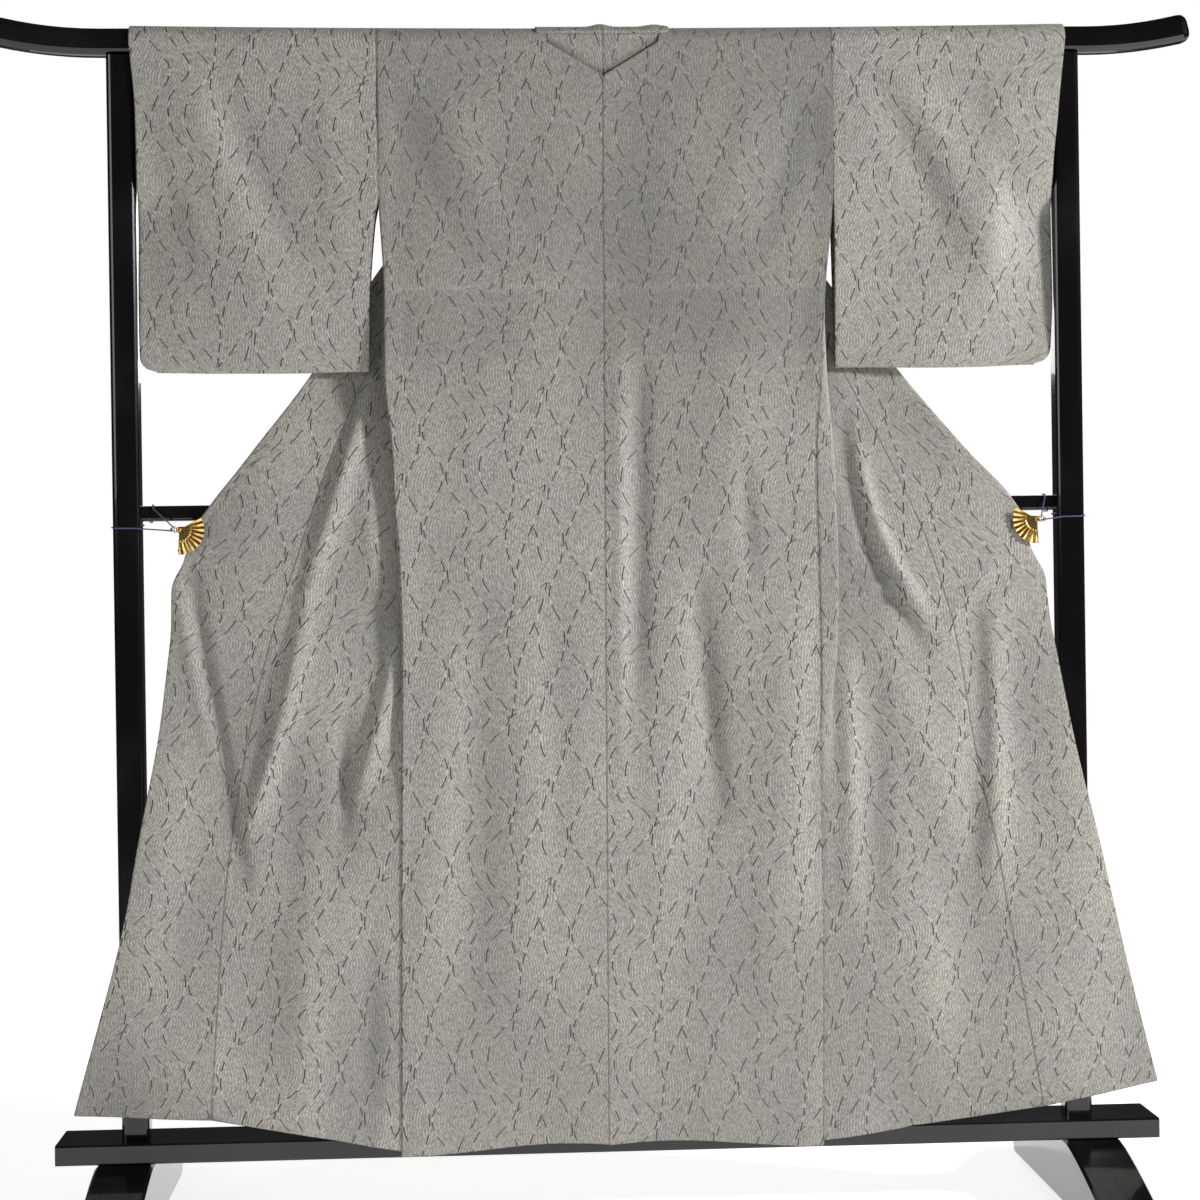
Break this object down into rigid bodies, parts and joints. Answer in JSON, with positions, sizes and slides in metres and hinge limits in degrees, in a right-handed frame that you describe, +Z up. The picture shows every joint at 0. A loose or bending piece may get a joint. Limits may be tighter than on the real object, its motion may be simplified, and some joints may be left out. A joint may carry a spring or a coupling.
{
  "type": "silk kimono on a kimono rack",
  "caption": "Silk kimono hung back outward over the top bar of a black lacquered kimono rack, its fronts drawn out wide by gilt fan clips on cords.",
  "frame": {"origin": "on the floor under the middle of the rack: the centre of the bottom of the bounding box", "axes": "+Z up; the back of the kimono faces -Y; +X runs along the top bar, to the right for someone facing that back"},
  "size_m": [1.7572, 0.5996, 1.7444],
  "materials": {
    "base_board": "black gloss lacquer over wood",
    "body_left": "figured silk, warm grey with fine pale lines and dark dashes",
    "body_right": "figured silk, warm grey with fine pale lines and dark dashes",
    "clip_left": "gilt, polished",
    "clip_right": "gilt, polished",
    "collar_left": "figured silk, warm grey with fine pale lines and dark dashes",
    "collar_neck": "figured silk, warm grey with fine pale lines and dark dashes",
    "collar_right": "figured silk, warm grey with fine pale lines and dark dashes",
    "cord_post_left": "twisted purple cord",
    "cord_post_right": "twisted purple cord",
    "cord_rail_left": "twisted purple cord",
    "cord_rail_right": "twisted purple cord",
    "fan_left": "gilt, polished",
    "fan_right": "gilt, polished",
    "foot_left": "black gloss lacquer over wood",
    "foot_right": "black gloss lacquer over wood",
    "lower_rail": "black gloss lacquer over wood",
    "okumi_left": "figured silk, warm grey with fine pale lines and dark dashes",
    "okumi_right": "figured silk, warm grey with fine pale lines and dark dashes",
    "post_left": "black gloss lacquer over wood",
    "post_right": "black gloss lacquer over wood",
    "sleeve_left": "figured silk, warm grey with fine pale lines and dark dashes",
    "sleeve_right": "figured silk, warm grey with fine pale lines and dark dashes",
    "top_bar": "black gloss lacquer over wood"
  },
  "bodies": {
    "root": {"base_board": "base_board", "body_left": "body_left", "body_right": "body_right", "clip_left": "clip_left", "clip_right": "clip_right", "collar_left": "collar_left", "collar_neck": "collar_neck", "collar_right": "collar_right", "cord_post_left": "cord_post_left", "cord_post_right": "cord_post_right", "cord_rail_left": "cord_rail_left", "cord_rail_right": "cord_rail_right", "fan_left": "fan_left", "fan_right": "fan_right", "foot_left": "foot_left", "foot_right": "foot_right", "lower_rail": "lower_rail", "okumi_left": "okumi_left", "okumi_right": "okumi_right", "post_left": "post_left", "post_right": "post_right", "sleeve_left": "sleeve_left", "sleeve_right": "sleeve_right", "top_bar": "top_bar"}
  },
  "joints": []
}
